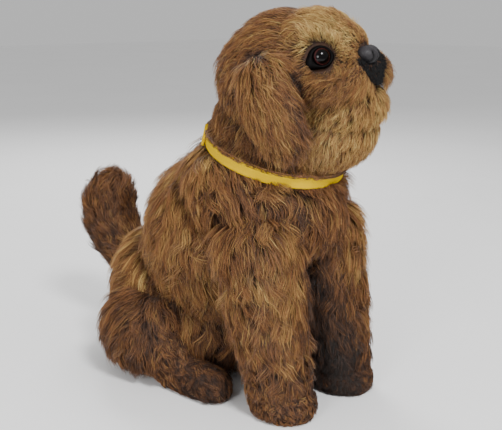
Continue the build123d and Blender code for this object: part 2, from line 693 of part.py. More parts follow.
MOUTH_ANGLE = -3
CHIN_BACK = 72
JAW_SWING = 14
EYE_DIR = Vector(0.66, -0.71, 0.24).normalized()
with BuildPart() as head_plush:
    for mass in HEAD_MASS:
        add(mass)
    add(BALL)
    add(wedge(MOUTH_ANGLE - 1, CHIN_BACK + JAW_SWING + 4, 90), mode=Mode.SUBTRACT)
    split(bisect_by=NECK.offset(PLUSH_TOP), keep=Keep.TOP)
    add(disc(NECK, 30, PLUSH_TOP - 1, 4), mode=Mode.SUBTRACT)
    add(SKULL_ROOM, mode=Mode.SUBTRACT)
    add(disc(NECK, 9.6, SKULL_TOP - 2, SKULL_TOP + 4.6), mode=Mode.SUBTRACT)
    for side in (1, -1):
        spot = Vector(side * EYE_AT[0], EYE_AT[1], EYE_AT[2])
        out = Vector(side * EYE_DIR.X, EYE_DIR.Y, EYE_DIR.Z)
        socket = Plane(origin=spot, z_dir=out)
        add(ball(spot, EYE_R + 0.1), mode=Mode.SUBTRACT)
        add(disc(socket, 2.2, -16, 0), mode=Mode.SUBTRACT)
        add(disc(socket, 6.6, -14, -11.4), mode=Mode.SUBTRACT)
        add(disc(socket, 10.4, 0.4, 12), mode=Mode.SUBTRACT)
    add(NOSE_ROOM, mode=Mode.SUBTRACT)
    add(peg((0, NOSE_AT[1] + 9, NOSE_AT[2]), (90, 0, 0), 2.2, 18), mode=Mode.SUBTRACT)
    add(peg((0, NOSE_AT[1] + 16, NOSE_AT[2]), (90, 0, 0), 6.6, 2.6), mode=Mode.SUBTRACT)
head_plush.part.label = "head_plush"
export_step(TURN * head_plush.part, "parts/head_plush.step")

with BuildPart() as chin_plush:
    add(HEAD_MASS[2])
    add(BEARD_MASS)
    add(wedge(MOUTH_ANGLE + 1, CHIN_BACK, 90), mode=Mode.INTERSECT)
    add(peg((0, JAW_WORLD_Y, JAW_WORLD_Z), (0, 90, 0), 46, 80), mode=Mode.INTERSECT)
    for swing in (0, JAW_SWING / 2, JAW_SWING):
        turned = Pos(0, JAW_WORLD_Y, JAW_WORLD_Z) * Rot(-swing, 0, 0) * Pos(0, -JAW_WORLD_Y, -JAW_WORLD_Z)
        add(turned * disc(NECK, SKULL_R + 1, -200, 200), mode=Mode.SUBTRACT)
    add(block(LEVER, (0, 44.4), (-2.9, 2.9), (-7.4, 7.4)), mode=Mode.SUBTRACT)
chin_plush.part.label = "chin_plush"
export_step(TURN * chin_plush.part, "parts/chin_plush.step")

for side, sign in (("left", 1), ("right", -1)):
    spot = Vector(sign * EYE_AT[0], EYE_AT[1], EYE_AT[2])
    out = Vector(sign * EYE_DIR.X, EYE_DIR.Y, EYE_DIR.Z)
    socket = Plane(origin=spot, x_dir=out.cross(Vector(0, 0, 1)), z_dir=out)
    with BuildPart() as eyeball:
        add(ball(spot, EYE_R))
        add(disc(socket, 2, -15, 0))
    eyeball.part.label = f"eyeball_{side}"
    export_step(TURN * eyeball.part, f"parts/eyeball_{side}.step")
    with BuildPart() as eye_rim:
        with BuildSketch(socket.offset(0.6)):
            Ellipse(9.8, 8.4)
        extrude(amount=2.6, taper=18)
        add(ball(spot, EYE_R + RUN), mode=Mode.SUBTRACT)
        add(disc(socket, 5.6, 1, 12), mode=Mode.SUBTRACT)
    eye_rim.part.label = f"eye_rim_{side}"
    export_step(TURN * eye_rim.part, f"parts/eye_rim_{side}.step")
    with BuildPart() as ear:
        with BuildSketch(Plane.YZ.offset(sign * 51)):
            with Locations(Location((-47, 233), -26)):
                Ellipse(20, 31)
        extrude(amount=sign * 8)
        fillet(ear.edges(), 3)
    ear.part.label = f"ear_{side}"
    export_step(TURN * ear.part, f"parts/ear_{side}.step")

with BuildPart() as lock_washers:
    for sign in (1, -1):
        out = Vector(sign * EYE_DIR.X, EYE_DIR.Y, EYE_DIR.Z)
        socket = Plane(origin=(sign * EYE_AT[0], EYE_AT[1], EYE_AT[2]), z_dir=out)
        add(disc(socket, 6, -13.4, -12) - disc(socket, 2, -16, 0))
    nose_back = (0, NOSE_AT[1] + 16, NOSE_AT[2])
    add(peg(nose_back, (90, 0, 0), 6, 1.4) - peg(nose_back, (90, 0, 0), 2, 4))
lock_washers.part.label = "lock_washers"
export_step(TURN * lock_washers.part, "parts/lock_washers.step")

with BuildPart() as nose:
    add(Pos(*NOSE_AT) * spheroid(10, 7.5, 28))
    add(peg((0, NOSE_AT[1] + 9, NOSE_AT[2]), (90, 0, 0), 2, 17))
    for sign in (1, -1):
        add(peg((sign * 4.2, NOSE_AT[1] - 7, NOSE_AT[2] - 1), (90, 0, 0), 1.5, 3), mode=Mode.SUBTRACT)
nose.part.label = "nose"
export_step(TURN * nose.part, "parts/nose.step")

with BuildPart() as lip_patch:
    add(Pos(*MUZZLE_AT) * spheroid(37.2, 33.2))
    add(Pos(*MUZZLE_AT) * spheroid(36.1, 32.1), mode=Mode.SUBTRACT)
    with BuildSketch(Plane.XZ.offset(60)):
        with Locations((0, 251.5)):
            Ellipse(12, 8.5)
    extrude(amount=80, mode=Mode.INTERSECT)
    add(NOSE_ROOM, mode=Mode.SUBTRACT)
    add(wedge(MOUTH_ANGLE - 1, 40, 90), mode=Mode.SUBTRACT)
lip_patch.part.label = "lip_patch"
export_step(TURN * lip_patch.part, "parts/lip_patch.step")

# ---- tail ----
ROD_END = 62
TAIL_PATH = [(143, 60, 12), (168, 74, 17), (187, 96, 19), (190, 116, 17.5), (185, 138, 11)]
with BuildPart() as tail_plush:
    for i, (y, z, r) in enumerate(TAIL_PATH):
        before = TAIL_PATH[max(i - 1, 0)]
        after = TAIL_PATH[min(i + 1, len(TAIL_PATH) - 1)]
        along = Vector(0, after[0] - before[0], after[1] - before[1])
        with BuildSketch(Plane(origin=(0, y, z), x_dir=(1, 0, 0), z_dir=along)):
            Circle(r)
    loft()
    add(TAIL.location * peg((0, ROD_END / 2, 0), (90, 0, 0), 3.3, ROD_END + 1), mode=Mode.SUBTRACT)
tail_plush.part.label = "tail_plush"
export_step(SEAT * tail_plush.part, "parts/tail_plush.step")

with BuildPart() as tail_bone:
    add(disc(TAIL, 6, -5, 5))
    add(TAIL.location * peg((0, ROD_END / 2, 0), (90, 0, 0), 3, ROD_END))
    add(disc(TAIL, 4, 5, 8))
    add(disc(TAIL, 2 + RUN, -8, 10), mode=Mode.SUBTRACT)
tail_bone.part.label = "tail_bone"
export_step(SEAT * tail_bone.part, "parts/tail_bone.step")

with BuildPart() as tail_gear:
    add(gear(TAIL.offset(5), TAIL_TEETH, 3, 4, 270 + 180 / TAIL_TEETH))
tail_gear.part.label = "tail_gear"
export_step(SEAT * tail_gear.part, "parts/tail_gear.step")

with BuildPart() as tail_bracket:
    add(block(TAIL, (-18, 18), (-8.4, 7), (-11, 12)))
    add(block(TAIL, (-15, 15), (-10, 8), (-8, 9)), mode=Mode.SUBTRACT)
    add(disc(TAIL, 2, -12, 13), mode=Mode.SUBTRACT)
tail_bracket.part.label = "tail_bracket"
export_step(SEAT * tail_bracket.part, "parts/tail_bracket.step")

with BuildPart() as tail_pin:
    add(disc(TAIL, 2, -11, 12))
tail_pin.part.label = "tail_pin"
export_step(SEAT * tail_pin.part, "parts/tail_pin.step")

with BuildPart() as tail_motor:
    add(motor(TAIL_OVER, -31.5, -9.5, TAIL_CAN, TAIL_PINION))
tail_motor.part.label = "tail_motor"
export_step(SEAT * tail_motor.part, "parts/tail_motor.step")

with BuildPart() as tail_pinion:
    add(rotor(TAIL_OVER, -15, -8, 3, TAIL_PINION, phase=90))
tail_pinion.part.label = "tail_pinion"
export_step(SEAT * tail_pinion.part, "parts/tail_pinion.step")
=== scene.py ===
import bpy
import bmesh
import math
import numpy as np
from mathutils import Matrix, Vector
from mathutils.kdtree import KDTree


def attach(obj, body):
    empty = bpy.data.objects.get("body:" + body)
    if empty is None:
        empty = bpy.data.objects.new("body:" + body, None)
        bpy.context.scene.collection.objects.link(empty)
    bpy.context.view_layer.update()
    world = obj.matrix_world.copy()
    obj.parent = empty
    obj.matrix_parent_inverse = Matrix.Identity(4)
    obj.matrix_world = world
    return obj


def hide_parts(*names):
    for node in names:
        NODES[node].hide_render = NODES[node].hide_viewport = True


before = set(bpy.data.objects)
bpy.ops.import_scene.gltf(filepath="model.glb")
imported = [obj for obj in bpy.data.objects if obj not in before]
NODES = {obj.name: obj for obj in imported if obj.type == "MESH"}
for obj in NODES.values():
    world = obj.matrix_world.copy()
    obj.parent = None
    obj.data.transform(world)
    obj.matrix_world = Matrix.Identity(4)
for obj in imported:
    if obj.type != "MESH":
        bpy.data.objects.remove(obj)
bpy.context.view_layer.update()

# Shapes below are drawn in millimetres about the body's upright centre line, with the head facing
# straight ahead. seat() puts them in the row frame, and turns the pieces that ride on the head.
MM = 0.001
SEAT_Y = -52.5
ACROSS = np.array([1.0, 0.0, 0.0])
NECK_AT = np.array([0.0, -18.8, 188.6])
NECK_TILT = math.radians(18.3)
NECK_AXIS = np.array([0.0, -math.sin(NECK_TILT), math.cos(NECK_TILT)])
HEAD_TURN = math.radians(15)
JAW_AT = np.array([0.0, -45.0, 238.0])
MOUTH_RISE = math.tan(math.radians(3))
EYE_AT = np.array([26.0, -70.0, 262.0])
EYE_OUT = np.array([0.66, -0.71, 0.24]) / np.linalg.norm([0.66, -0.71, 0.24])
NOSE_AT = np.array([0.0, -94.0, 261.0])
NOSE_SIZE = np.array([9.8, 7.4, 6.9])

# No pile within EYE_CLEAR of an eye's axis, or lower than NECK_STOP over the collar's middle plane.
EYE_CLEAR = 9.5
NECK_STOP = 6.5
COLLAR_RIM = 54.4
COLLAR_TOP = 6.2
LIP_GAP = 0.8

# Skins: smoothing rounds.
SMOOTH_ROUNDS = 6

# Pile: how far a strand curls back to its skin, how much tones differ from lock to lock and from strand
# to strand, the lowest a strand reaches (metres), and the most triangles that one piece may have.
CURL_BACK = 0.315
LOCK_TONE = 0.065
STRAND_TONE = 0.11
FUR_FLOOR = 0.0004
MOST_FACES = 198000


def spin(axis, angle):
    """Rotation matrix about a unit axis."""
    k = np.array([[0, -axis[2], axis[1]], [axis[2], 0, -axis[0]], [-axis[1], axis[0], 0]])
    return np.eye(3) + math.sin(angle) * k + (1 - math.cos(angle)) * k @ k


HEAD_SPIN = spin(NECK_AXIS, HEAD_TURN)


def unit(v):
    return v / np.maximum(np.linalg.norm(v, axis=-1, keepdims=True), 1e-9)


def seat(points, on_head=False):
    """Drawing millimetres to row-frame metres."""
    p = np.asarray(points, float)
    if on_head:
        p = (p - NECK_AT) @ HEAD_SPIN.T + NECK_AT
    return (p + np.array([0, SEAT_Y, 0])) * MM


def smooth_step(a, b, x):
    t = np.clip((x - a) / (b - a), 0, 1)
    return t * t * (3 - 2 * t)


# ---- node material helpers ----
def fresh(name):
    mat = bpy.data.materials.new(name)
    mat.use_nodes = True
    tree = mat.node_tree
    return mat, tree, tree.nodes["Principled BSDF"]


def add_node(tree, kind, **values):
    node = tree.nodes.new(kind)
    for key, value in values.items():
        if key.startswith("in_"):
            node.inputs[key[3:].replace("_", " ")].default_value = value
        else:
            setattr(node, key, value)
    return node


def ramp(tree, stops, source):
    node = tree.nodes.new("ShaderNodeValToRGB")
    elements = node.color_ramp.elements
    while len(elements) < len(stops):
        elements.new(0.5)
    for element, (at, colour) in zip(elements, stops):
        element.position = at
        element.color = (*colour, 1)
    tree.links.new(source, node.inputs["Fac"])
    return node


def srgb(r, g, b):
    out = []
    for c in (r, g, b):
        c = c / 255
        out.append(c / 12.92 if c <= 0.04045 else ((c + 0.055) / 1.055) ** 2.4)
    return tuple(out)


def math_node(tree, operation, a, b=None):
    node = tree.nodes.new("ShaderNodeMath")
    node.operation = operation
    for i, value in enumerate((a, b)):
        if value is None:
            continue
        if isinstance(value, (int, float)):
            node.inputs[i].default_value = value
        else:
            tree.links.new(value, node.inputs[i])
    return node.outputs[0]


def bump(tree, bsdf, height, strength, distance):
    node = add_node(tree, "ShaderNodeBump", in_Strength=strength, in_Distance=distance)
    tree.links.new(height, node.inputs["Height"])
    tree.links.new(node.outputs["Normal"], bsdf.inputs["Normal"])


def mottled(name, dark, light, scale, rough, metallic=0.0, grain=0.15, depth=0.0002, spec=0.5):
    """Moulded, painted or metal surface: colour drifts a little, and a fine grain breaks the finish."""
    mat, tree, bsdf = fresh(name)
    where = add_node(tree, "ShaderNodeTexCoord")
    noise = add_node(tree, "ShaderNodeTexNoise", in_Scale=scale, in_Detail=4.0, in_Roughness=0.6)
    tree.links.new(where.outputs["Object"], noise.inputs["Vector"])
    shade = ramp(tree, [(0.3, dark), (0.7, light)], noise.outputs["Fac"])
    tree.links.new(shade.outputs["Color"], bsdf.inputs["Base Color"])
    fine = add_node(tree, "ShaderNodeTexNoise", in_Scale=scale * 9, in_Detail=3.0, in_Roughness=0.6)
    tree.links.new(where.outputs["Object"], fine.inputs["Vector"])
    bump(tree, bsdf, fine.outputs["Fac"], grain, depth)
    bsdf.inputs["Roughness"].default_value = rough
    bsdf.inputs["Metallic"].default_value = metallic
    bsdf.inputs["Specular IOR Level"].default_value = spec
    return mat


# ---- pile colours: along a strand from its root, and from strand to strand ----
COAT = [
    (0.00, srgb(20, 11, 5)),
    (0.22, srgb(70, 42, 23)),
    (0.46, srgb(130, 84, 46)),
    (0.72, srgb(174, 137, 76)),
    (1.00, srgb(218, 193, 122)),
]


def coat_material(name, stops, root, tip, rough, sheen):
    """Pile: the UV's first value is a strand's tone, and its second runs from the root to the tip."""
    mat, tree, bsdf = fresh(name)
    uv = add_node(tree, "ShaderNodeUVMap", uv_map="OFBake")
    split = add_node(tree, "ShaderNodeSeparateXYZ")
    tree.links.new(uv.outputs["UV"], split.inputs[0])
    tone = ramp(tree, stops, split.outputs["X"])
    # Painted shade: each strand is darkened towards its root, where the pile shades itself, and lightened
    # towards its tip.
    along = ramp(tree, [(0.0, (root,) * 3), (0.45, (0.8,) * 3), (1.0, (tip,) * 3)], split.outputs["Y"])
    mix = add_node(tree, "ShaderNodeMix", data_type="RGBA", blend_type="MULTIPLY")
    mix.inputs[0].default_value = 1.0
    tree.links.new(tone.outputs["Color"], mix.inputs[6])
    tree.links.new(along.outputs["Color"], mix.inputs[7])
    tree.links.new(mix.outputs[2], bsdf.inputs["Base Color"])
    bsdf.inputs["Roughness"].default_value = rough
    bsdf.inputs["Specular IOR Level"].default_value = 0.35
    bsdf.inputs["Sheen Weight"].default_value = sheen
    bsdf.inputs["Sheen Roughness"].default_value = 0.4
    return mat


# The value after the stops sets how dark the painted shade at the strand roots is.
FUR = coat_material("brown_pile", COAT, 0.06, 1.45, 0.6, 0.06)
BLACK_FUR = coat_material("black_pile", [(0.0, srgb(4, 4, 4)), (1.0, srgb(20, 17, 17))], 0.4, 1.2, 0.8, 0.0)
UNDER = mottled("pile_backing", srgb(34, 20, 12), srgb(70, 42, 23), 160, 0.9, grain=0.6, depth=0.001)
FELT = mottled("sole_felt", srgb(44, 28, 18), srgb(78, 50, 30), 220, 0.95, grain=0.8, depth=0.0008)
YELLOW = mottled("yellow_vinyl", (0.6, 0.38, 0.0), (0.65, 0.42, 0.0), 40, 0.5, grain=0.12, spec=0.0)


# ---- soft bodies: blobs joined, remeshed and smoothed into one closed skin ----
def ellipsoid(at, radii, tilt=0.0):
    """One blob; tilt turns it about the sideways axis, in degrees."""
    return {"at": np.array(at, float), "radii": np.array(radii, float), "tilt": math.radians(tilt)}


def limb(start, end, r_start, r_end, steps=7):
    """Balls in a row from start to end."""
    out = []
    for i in range(steps):
        t = i / (steps - 1)
        r = r_start + (r_end - r_start) * t
        at = np.array(start, float) * (1 - t) + np.array(end, float) * t
        out.append(ellipsoid(at, (r, r, r)))
    return out


def mirrored(blobs):
    return [{"at": b["at"] * (-1, 1, 1), "radii": b["radii"], "tilt": b["tilt"]} for b in blobs]


def skin(name, blobs, voxel, body, material, on_head=False, shape=None):
    """One padded skin round some blobs; shape() trims its drawn points before it is seated."""
    mesh = bpy.data.meshes.new(name)
    bm = bmesh.new()
    for blob in blobs:
        made = bmesh.ops.create_icosphere(bm, subdivisions=4, radius=1)
        turn = spin(ACROSS, blob["tilt"])
        for v in made["verts"]:
            v.co = Vector(turn @ (np.array(v.co) * blob["radii"]) + blob["at"])
    bm.to_mesh(mesh)
    bm.free()
    rough = bpy.data.objects.new(name + "_rough", mesh)
    bpy.context.scene.collection.objects.link(rough)
    remesh = rough.modifiers.new("remesh", "REMESH")
    remesh.mode = "VOXEL"
    remesh.voxel_size = voxel
    soften = rough.modifiers.new("soften", "SMOOTH")
    soften.factor = 0.5
    soften.iterations = SMOOTH_ROUNDS
    graph = bpy.context.evaluated_depsgraph_get()
    done = bpy.data.meshes.new_from_object(rough.evaluated_get(graph))
    bpy.data.objects.remove(rough)
    n = len(done.vertices)
    co = np.zeros(n * 3)
    done.vertices.foreach_get("co", co)
    co = co.reshape(-1, 3)
    if shape is not None:
        co = shape(co)
    drawn = co.copy()
    done.vertices.foreach_set("co", seat(co, on_head).ravel())
    done.update()
    done.name = name
    done.shade_smooth()
    done.materials.append(material)
    obj = bpy.data.objects.new(name, done)
    bpy.context.scene.collection.objects.link(obj)
    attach(obj, body)
    done.calc_loop_triangles()
    tris = np.zeros(len(done.loop_triangles) * 3, np.int32)
    done.loop_triangles.foreach_get("vertices", tris)
    return {"obj": obj, "co": drawn, "tris": tris.reshape(-1, 3), "body": body, "on_head": on_head}


def roots(surface, density, rng, keep):
    """Random points on the kept part of a skin, with smooth normals, in drawing millimetres."""
    co, tris = surface["co"], surface["tris"]
    a, b, c = co[tris[:, 0]], co[tris[:, 1]], co[tris[:, 2]]
    cross = np.cross(b - a, c - a)
    area = np.linalg.norm(cross, axis=1) / 2
    soft = np.zeros_like(co)
    for i in range(3):
        np.add.at(soft, tris[:, i], cross)
    soft = unit(soft)
    count = int(area.sum() * density)
    pick = rng.choice(len(tris), count, p=area / area.sum())
    r1, r2 = np.sqrt(rng.random(count)), rng.random(count)
    w = np.stack([1 - r1, r1 * (1 - r2), r1 * r2], 1)[:, :, None]
    at = (co[tris[pick]] * w).sum(1)
    normal = unit((soft[tris[pick]] * w).sum(1))
    mask = keep(at, normal)
    return at[mask], normal[mask]


def everywhere(p, n):
    return np.ones(len(p), bool)


def grow(
    surface, density, seed, flow, length, tone, keep=everywhere, *,
    rise, wave, wavelength, width, clump, per_lock, segs, sag, swirl, jitter=0.16, guard=None,
):
    """Strand paths, half widths and tones for one skin.

    flow, length and tone are functions of a root's place and normal. Strands gather into locks of about
    per_lock, which share a swirl, a wave, a rise and a tone, and guard() may move the finished paths.
    """
    rng = np.random.default_rng(seed)
    at, normal = roots(surface, density, rng, keep)
    n = len(at)
    locks = max(1, n // per_lock)
    leader = rng.choice(n, locks, replace=False)
    tree = KDTree(locks)
    for i, k in enumerate(leader):
        tree.insert(Vector(at[k]), i)
    tree.balance()
    own = np.array([tree.find(Vector(p))[1] for p in at])
    chief = leader[own]

    lock_swirl = rng.normal(0, swirl, locks)
    lock_phase = rng.uniform(0, 2 * math.pi, locks)
    lock_wave = wave * rng.uniform(0.5, 1.4, locks)
    lock_rise = rise * rng.uniform(0.7, 1.25, locks)
    lock_tone = rng.normal(0, LOCK_TONE, locks)
    lock_long = rng.uniform(0.78, 1.18, locks)

    along = flow(at, normal)
    tangent = unit(along - (along * normal).sum(1, keepdims=True) * normal)
    side = np.cross(normal, tangent)
    turn = (lock_swirl[own] + rng.normal(0, jitter, n))[:, None]
    tangent = tangent * np.cos(turn) + side * np.sin(turn)
    side = np.cross(normal, tangent)
    size = length(at, normal) * lock_long[own] * rng.uniform(0.8, 1.1, n)
    tall = lock_rise[own] * rng.uniform(0.8, 1.2, n)
    down = np.array([0, 0, -1.0])

    path = np.zeros((n, segs + 1, 3))
    path[:, 0] = at - normal * 0.6
    move = np.zeros((n, 3))
    for k in range(1, segs + 1):
        t = (k - 0.5) / segs
        heading = tangent + normal * (tall * (1 - t) - CURL_BACK * t)[:, None] + down * (sag * t)
        move = move + unit(heading) * (size / segs)[:, None]
        s = size * k / segs
        sway = lock_wave[own] * (k / segs) * np.sin(2 * math.pi * s / wavelength + lock_phase[own])
        path[:, k] = at + move + side * sway[:, None]
    gather = clump * rng.uniform(0.3, 1.0, n)
    gather[rng.random(n) < 0.15] *= 0.2
    ratio = (size / size[chief])[:, None]
    for k in range(1, segs + 1):
        g = (gather * (k / segs) ** 1.3)[:, None]
        lead = at[chief] + (path[chief, k] - at[chief]) * ratio
        path[:, k] = path[:, k] * (1 - g) + lead * g
    path[:, 1:] += rng.normal(0, 0.22, (n, segs, 3)) * (np.arange(1, segs + 1) / segs)[None, :, None]
    if guard is not None:
        path[:, 1:] = guard(path[:, 1:], rng)
    tones = np.clip(tone(at, normal) + lock_tone[own] + rng.normal(0, STRAND_TONE, n), 0.02, 0.98)
    half = 0.5 * width * rng.uniform(0.75, 1.2, n)
    return {"path": path, "normal": normal, "half": half, "tone": tones}


def spikes(name, grown, surface, material):
    """Closed, tapering, slightly flat strands, in pieces of at most MOST_FACES triangles."""
    path, normal = grown["path"], grown["normal"]
    n, steps = path.shape[0], path.shape[1]
    segs = steps - 1
    limit = MOST_FACES // (6 * segs - 2)
    made = []
    ahead = np.empty_like(path)
    ahead[:, 1:-1] = path[:, 2:] - path[:, :-2]
    ahead[:, 0] = path[:, 1] - path[:, 0]
    ahead[:, -1] = path[:, -1] - path[:, -2]
    ahead = unit(ahead)
    wide = unit(np.cross(ahead, normal[:, None, :]))
    thick = np.cross(wide, ahead)
    taper = (1 - (np.arange(segs) / segs) ** 2.2) * 0.9 + 0.1
    half = grown["half"][:, None] * taper[None, :]
    ring = np.zeros((n, segs, 3, 3))
    for j, angle in enumerate((90, 210, 330)):
        c, s = math.cos(math.radians(angle)), math.sin(math.radians(angle))
        ring[:, :, j] = path[:, :segs] + half[:, :, None] * (wide[:, :segs] * c + 0.6 * thick[:, :segs] * s)
    verts = np.concatenate([ring.reshape(n, -1, 3), path[:, segs:]], 1)
    verts = seat(verts.reshape(-1, 3), surface["on_head"])
    verts[:, 2] = np.maximum(verts[:, 2], FUR_FLOOR)
    verts = verts.reshape(n, 3 * segs + 1, 3)
    quads, tris = [], [(2, 1, 0)]
    for k in range(segs - 1):
        for j in range(3):
            m = (j + 1) % 3
            quads.append((3 * k + j, 3 * k + m, 3 * k + 3 + m, 3 * k + 3 + j))
    top = 3 * segs
    for j in range(3):
        tris.append((3 * (segs - 1) + j, 3 * (segs - 1) + (j + 1) % 3, top))
    per = 3 * segs + 1
    level = np.repeat(np.arange(segs) / segs, 3)
    level = np.append(level, 1.0)
    parts = max(1, math.ceil(n / limit))
    order = np.argsort(path[:, 0, 2], kind="stable")
    for part, chosen in enumerate(np.array_split(order, parts)):
        count = len(chosen)
        base = (np.arange(count) * per)[:, None, None]
        q = (np.array(quads)[None] + base).reshape(-1)
        t = (np.array(tris)[None] + base).reshape(-1)
        loops = np.concatenate([q, t])
        sizes = np.concatenate([np.full(count * len(quads), 4), np.full(count * len(tris), 3)])
        starts = np.concatenate([[0], np.cumsum(sizes)[:-1]])
        mesh = bpy.data.meshes.new(f"{name}_{part + 1}")
        mesh.vertices.add(count * per)
        mesh.vertices.foreach_set("co", verts[chosen].reshape(-1))
        mesh.loops.add(len(loops))
        mesh.loops.foreach_set("vertex_index", loops.astype(np.int32))
        mesh.polygons.add(len(sizes))
        mesh.polygons.foreach_set("loop_start", starts.astype(np.int32))
        mesh.update(calc_edges=True)
        mesh.validate()
        u = np.repeat(grown["tone"][chosen], per)
        v = np.tile(level, count) * 0.96 + 0.02
        layer = mesh.uv_layers.new(name="OFBake")
        layer.uv.foreach_set("vector", np.stack([u[loops], v[loops]], 1).astype(np.float32).reshape(-1))
        mesh.shade_smooth()
        mesh.materials.append(material)
        obj = bpy.data.objects.new(f"{name}_{part + 1}", mesh)
        bpy.context.scene.collection.objects.link(obj)
        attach(obj, surface["body"])
        made.append(obj)
    return made


def above_neck(p):
    return (p - NECK_AT) @ NECK_AXIS


def over_collar(path, rng):
    """Moves strands that would run into the collar out past its rim, ending just under its top edge."""
    high = above_neck(path)
    radial = path - NECK_AT - high[..., None] * NECK_AXIS
    far = np.linalg.norm(radial, axis=-1)
    out = np.where(high < COLLAR_TOP, np.maximum(COLLAR_RIM + 1.2 * smooth_step(6, -4, high) - far, 0), 0)
    edge = COLLAR_TOP - 3.2 * rng.random((len(path), 1)) ** 3
    lift = np.maximum(edge - high, 0)
    return path + unit(radial) * out[..., None] + lift[..., None] * NECK_AXIS


def outside(p, at, radii, tilt=0.0):
    """True where p is outside an ellipsoid."""
    turn = spin(ACROSS, math.radians(tilt))
    q = ((p - np.array(at)) @ turn) / np.array(radii)
    return (q * q).sum(1) > 1


# ---- torso, legs ----
TORSO = [
    ellipsoid((0, -8, 160), (59, 56, 40), 20),
    ellipsoid((0, 31, 112), (60, 67, 71), 30),
    ellipsoid((0, 76, 60), (60, 67, 56), 10),
    ellipsoid((0, -26, 148), (44, 42, 36), 10),
    ellipsoid((0, 66, 34), (55, 62, 34)),
    ellipsoid((0, 38, 50), (50, 48, 42)),
]
LEG = limb((36, -34, 122), (35, -55, 28), 28, 23) + [ellipsoid((34, -58.5, 10), (22.5, 26.5, 18))]
HAUNCH = [
    ellipsoid((58, 73, 37), (27, 38, 36), 0),
    ellipsoid((57, 46, 24), (20, 26, 21), 0),
] + limb((55, 36, 11), (54, -4, 10.5), 16, 14.5)


def flat_foot(level):
    """Rests a skin on its sole."""
    def shape(co):
        co = co.copy()
        low = co[:, 2] < level
        co[low, 2] = level
        return co
    return shape


def neck_cut(co):
    """Torso skin stops under the collar."""
    high = np.maximum(above_neck(co) + 7.5, 0)
    co = co - high[:, None] * NECK_AXIS
    co[:, 2] = np.maximum(co[:, 2], 5)
    base = (co[:, 0] / 37.5) ** 2 + ((co[:, 1] - 66) / 45.5) ** 2 < 1
    co[base & (co[:, 2] < 14), 2] = 14
    return co


torso = skin("torso_pelt", TORSO, 2.6, "torso", UNDER, shape=neck_cut)
legs = {
    "right": skin("front_leg_pelt_right", mirrored(LEG), 2.2, "torso", UNDER, shape=flat_foot(1.6)),
    "left": skin("front_leg_pelt_left", LEG, 2.2, "torso", UNDER, shape=flat_foot(1.6)),
}
hinds = {
    "right": skin("hind_leg_pelt_right", mirrored(HAUNCH), 2.2, "torso", UNDER, shape=flat_foot(1.6)),
    "left": skin("hind_leg_pelt_left", HAUNCH, 2.2, "torso", UNDER, shape=flat_foot(1.6)),
}
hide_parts("torso_plush")
for side in ("left", "right"):
    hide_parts(f"front_leg_{side}")
    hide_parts(f"hind_leg_{side}")


def torso_flow(p, n):
    """Down, backwards over the rump."""
    back = smooth_step(-10, 60, p[:, 1])
    f = np.zeros_like(p)
    f[:, 1] = -0.35 + 0.75 * back
    f[:, 2] = -1
    f[:, 0] = 0.25 * np.sign(p[:, 0]) * back
    return f


def torso_keep(p, n):
    """Leaves out the neck, the inside of the legs and the underside."""
    inside_leg = np.zeros(len(p), bool)
    for s in (1, -1):
        inside_leg |= ~outside(p, (s * 36, -44, 96), (24, 22, 36), 10)
        inside_leg |= ~outside(p, (s * 58, 74, 36), (22, 34, 30))
    return (above_neck(p) < -3) & ~inside_leg & (p[:, 2] > 6) & (n[:, 2] > -0.75)


def torso_tone(p, n):
    """Painted shade low down on the body, and painted top light where the pile faces up; lighter between the
    front legs and darker on the chest.
    """
    low = smooth_step(70, 20, p[:, 2])
    between = np.exp(-((p[:, 0] / 22) ** 2)) * smooth_step(10, -20, p[:, 1]) * smooth_step(120, 80, p[:, 2])
    chest = smooth_step(10, -40, p[:, 1]) * smooth_step(110, 150, p[:, 2])
    return 0.46 + 0.06 * n[:, 2] - 0.2 * low + 0.12 * between - 0.1 * chest


torso_fur = grow(
    torso, 0.64, 11, torso_flow,
    lambda p, n: 24 + 6 * smooth_step(-20, 80, p[:, 1]),
    torso_tone,
    torso_keep, rise=0.66, wave=1.9, wavelength=19, width=0.64, clump=0.74, per_lock=26, segs=5, sag=0.35,
    swirl=0.46,
)
spikes("torso_fur", torso_fur, torso, FUR)


def leg_flow(p, n):
    """Down and a little forwards."""
    f = np.zeros_like(p)
    f[:, 1] = -0.25
    f[:, 2] = -1
    return f


def leg_tone(p, n):
    """Painted light on the faces turned forwards and painted shade on the inner sides, between the legs; also
    darker low down, most of all on the left leg.
    """
    inner = np.maximum(-n[:, 0] * np.sign(p[:, 0]), 0)
    front = np.maximum(-n[:, 1], 0)
    low = smooth_step(70, 25, p[:, 2])
    far = smooth_step(10, 20, p[:, 0]) * smooth_step(110, 60, p[:, 2])
    return 0.42 + 0.1 * front * (1 - low) - 0.3 * inner - 0.08 * low - 0.14 * far


for i, side in enumerate(("right", "left")):
    surface = legs[side]
    upper = grow(
        surface, 0.82, 21 + i, leg_flow,
        lambda p, n: 15 + 10 * smooth_step(25, 100, p[:, 2]),
        leg_tone,
        lambda p, n: (p[:, 2] > 26) & outside(p, (0, -8, 160), (54, 50, 35), 20)
        & outside(p, (0, 31, 112), (54, 61, 65), 30),
        rise=0.6, wave=1.6, wavelength=17, width=0.62, clump=0.72, per_lock=24, segs=4, sag=0.3, swirl=0.42,
    )
    spikes(f"front_leg_fur_{side}", upper, surface, FUR)
    paw = grow(
        surface, 1.15, 31 + i, leg_flow,
        lambda p, n: 5.5 + 5 * smooth_step(14, 32, p[:, 2]),
        leg_tone,
        lambda p, n: (p[:, 2] <= 30) & (p[:, 2] > 2.2),
        rise=0.8, wave=1.1, wavelength=6, width=0.62, clump=0.5, per_lock=8, segs=4, sag=0.3, swirl=0.8,
    )
    spikes(f"front_paw_fur_{side}", paw, surface, FUR)


def haunch_flow(p, n):
    """Down and back on the haunch, forwards along the foot."""
    f = np.zeros_like(p)
    ahead = smooth_step(60, 20, p[:, 1])
    f[:, 1] = 0.35 - 1.1 * ahead
    f[:, 2] = -1 + 0.55 * ahead
    return f


